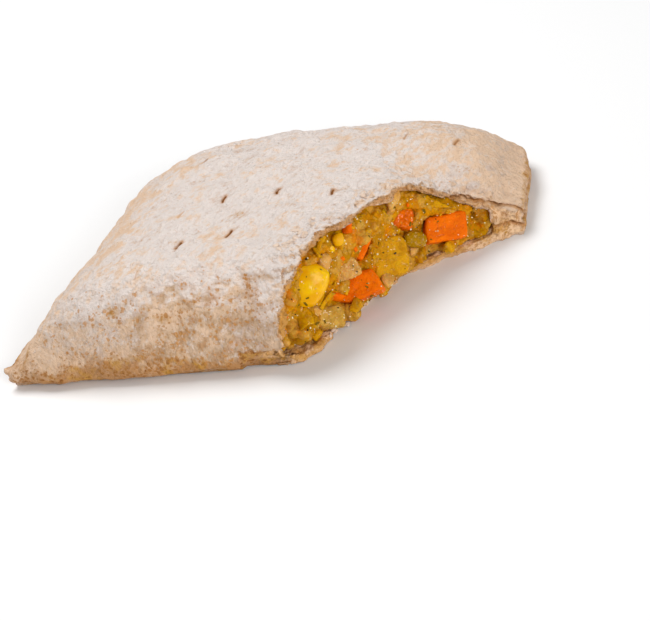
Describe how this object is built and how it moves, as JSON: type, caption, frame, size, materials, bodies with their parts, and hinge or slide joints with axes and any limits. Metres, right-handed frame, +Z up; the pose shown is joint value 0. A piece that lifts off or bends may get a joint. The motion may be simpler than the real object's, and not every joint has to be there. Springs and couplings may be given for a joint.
{
  "type": "jamaican patty",
  "caption": "Baked half-moon vegetable patty with a wholemeal pastry crust folded at the front, sealed round its rim and pricked with steam slits, broken open at its right front.",
  "frame": {"origin": "on the floor under the middle of the patty", "axes": "+X along the fold to the right, where the break is; +Y from the fold at the front to the sealed back edge; +Z up, out of the domed top"},
  "size_m": [0.1232, 0.0912, 0.0277],
  "materials": {
    "crust": "baked pastry, matte and floury",
    "filling": "moist mashed vegetable",
    "sweetcorn_kernel": "moist sweetcorn skin",
    "carrot_front": "moist cut carrot",
    "carrot_right": "moist cut carrot",
    "carrot_rough": "moist torn carrot",
    "carrot_slice": "moist cut carrot",
    "potato_slab": "moist cut potato",
    "potato_lump": "moist cut potato",
    "green_bean": "moist olive-green bean",
    "onion_piece": "moist cooked onion",
    "cabbage_strip": "moist cooked cabbage"
  },
  "bodies": {
    "root": {"crust": "crust", "filling": "filling", "sweetcorn_kernel": "sweetcorn_kernel", "carrot_front": "carrot_front", "carrot_right": "carrot_right", "carrot_rough": "carrot_rough", "carrot_slice": "carrot_slice", "potato_slab": "potato_slab", "potato_lump": "potato_lump", "green_bean": "green_bean", "onion_piece": "onion_piece", "cabbage_strip": "cabbage_strip"}
  },
  "joints": []
}
